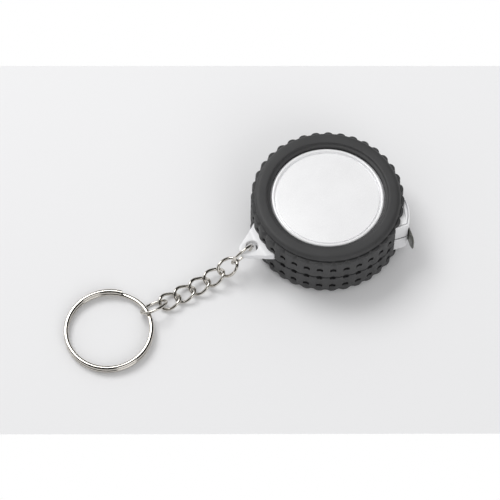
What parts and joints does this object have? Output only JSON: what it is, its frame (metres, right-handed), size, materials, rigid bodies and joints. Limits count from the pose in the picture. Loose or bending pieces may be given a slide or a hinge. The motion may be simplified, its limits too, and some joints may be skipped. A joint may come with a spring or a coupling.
{
  "type": "tape measure keychain",
  "caption": "Pocket tape measure in a round tyre-shaped case, with a steel end hook at its mouth and a curb chain with a split ring on its ear",
  "frame": {"origin": "middle of the rear disc's outer face, on the reel's axis", "axes": "+Z along the reel's axis from the rear disc to the front disc, +X the way the tape pulls out, the key ear near -X"},
  "size_m": [0.1022, 0.0467, 0.0182],
  "materials": {
    "tyre_rubber": "matt moulded soft plastic, black",
    "face_plate": "satin silver-white face plate with a rolled bead",
    "case_plastic": "moulded pale grey plastic, half gloss",
    "reel_plastic": "natural moulded plastic",
    "spring_steel": "blued spring steel",
    "tape_enamel": "yellow enamel on steel with black marks",
    "hook_steel": "dull dark grey steel",
    "fastener_steel": "nickel plated",
    "chain_plate": "bright nickel-chrome plate on wire"
  },
  "bodies": {
    "case": {"front_tyre_half": "tyre_rubber", "rear_tyre_half": "tyre_rubber", "front_disc": "face_plate", "rear_disc": "face_plate", "front_case_shell": "case_plastic", "rear_case_shell": "case_plastic", "case_screw": "fastener_steel", "power_spring": "spring_steel"},
    "reel": {"tape_reel": "reel_plastic", "tape_winding": "tape_enamel"},
    "tape": {"tape_lead": "tape_enamel", "end_hook": "hook_steel", "hook_rivet_1": "fastener_steel", "hook_rivet_2": "fastener_steel"},
    "link_1": {"chain_link_1": "chain_plate"},
    "link_2": {"chain_link_2": "chain_plate"},
    "link_3": {"chain_link_3": "chain_plate"},
    "link_4": {"chain_link_4": "chain_plate"},
    "link_5": {"chain_link_5": "chain_plate"},
    "link_6": {"chain_link_6": "chain_plate"},
    "link_7": {"chain_link_7": "chain_plate"},
    "ring": {"split_ring": "chain_plate"}
  },
  "joints": [
    {"name": "tape_pull", "type": "slide", "parent": "case", "child": "tape", "axis": [1, 0, 0], "range_m": [0, 0.95]},
    {"name": "reel_spin", "type": "hinge", "parent": "case", "child": "reel", "pos_m": [0, 0, 0.0077], "axis": [0, 0, 1], "range_deg": [0, 4920]},
    {"name": "link_1_swing", "type": "hinge", "parent": "case", "child": "link_1", "pos_m": [-0.02639, -0.00496, 0.0077], "axis": [0.1848, -0.9828, 0], "range_deg": [-45, 45]},
    {"name": "link_2_swing", "type": "hinge", "parent": "link_1", "child": "link_2", "pos_m": [-0.02854, -0.00537, 0.00447], "axis": [-0.0338, 0.9552, -0.2939], "range_deg": [-30, 30]},
    {"name": "link_3_swing", "type": "hinge", "parent": "link_2", "child": "link_3", "pos_m": [-0.03375, -0.00635, 0.00189], "axis": [0.4414, -0.6098, -0.6583], "range_deg": [-30, 30]},
    {"name": "link_4_swing", "type": "hinge", "parent": "link_3", "child": "link_4", "pos_m": [-0.03721, -0.007, 0.00102], "axis": [-0.0895, 0.8357, -0.5418], "range_deg": [-30, 30]},
    {"name": "link_5_swing", "type": "hinge", "parent": "link_4", "child": "link_5", "pos_m": [-0.04297, -0.00808, 0.0003], "axis": [0.2202, -0.8111, -0.5418], "range_deg": [-30, 30]},
    {"name": "link_6_swing", "type": "hinge", "parent": "link_5", "child": "link_6", "pos_m": [-0.04653, -0.00875, 0.0002], "axis": [-0.1548, 0.8234, -0.5459], "range_deg": [-30, 30]},
    {"name": "link_7_swing", "type": "hinge", "parent": "link_6", "child": "link_7", "pos_m": [-0.05232, -0.00984, 0.0002], "axis": [0.1548, -0.8234, -0.5459], "range_deg": [-30, 30]},
    {"name": "ring_swing", "type": "hinge", "parent": "link_7", "child": "ring", "pos_m": [-0.0567, -0.01066, 0.00109], "axis": [-0.1848, 0.9828, 0], "range_deg": [-60, 60]}
  ],
  "couplings": [
    {"joint": "reel_spin", "follows": "tape_pull", "rad_per_m": 90.1}
  ]
}
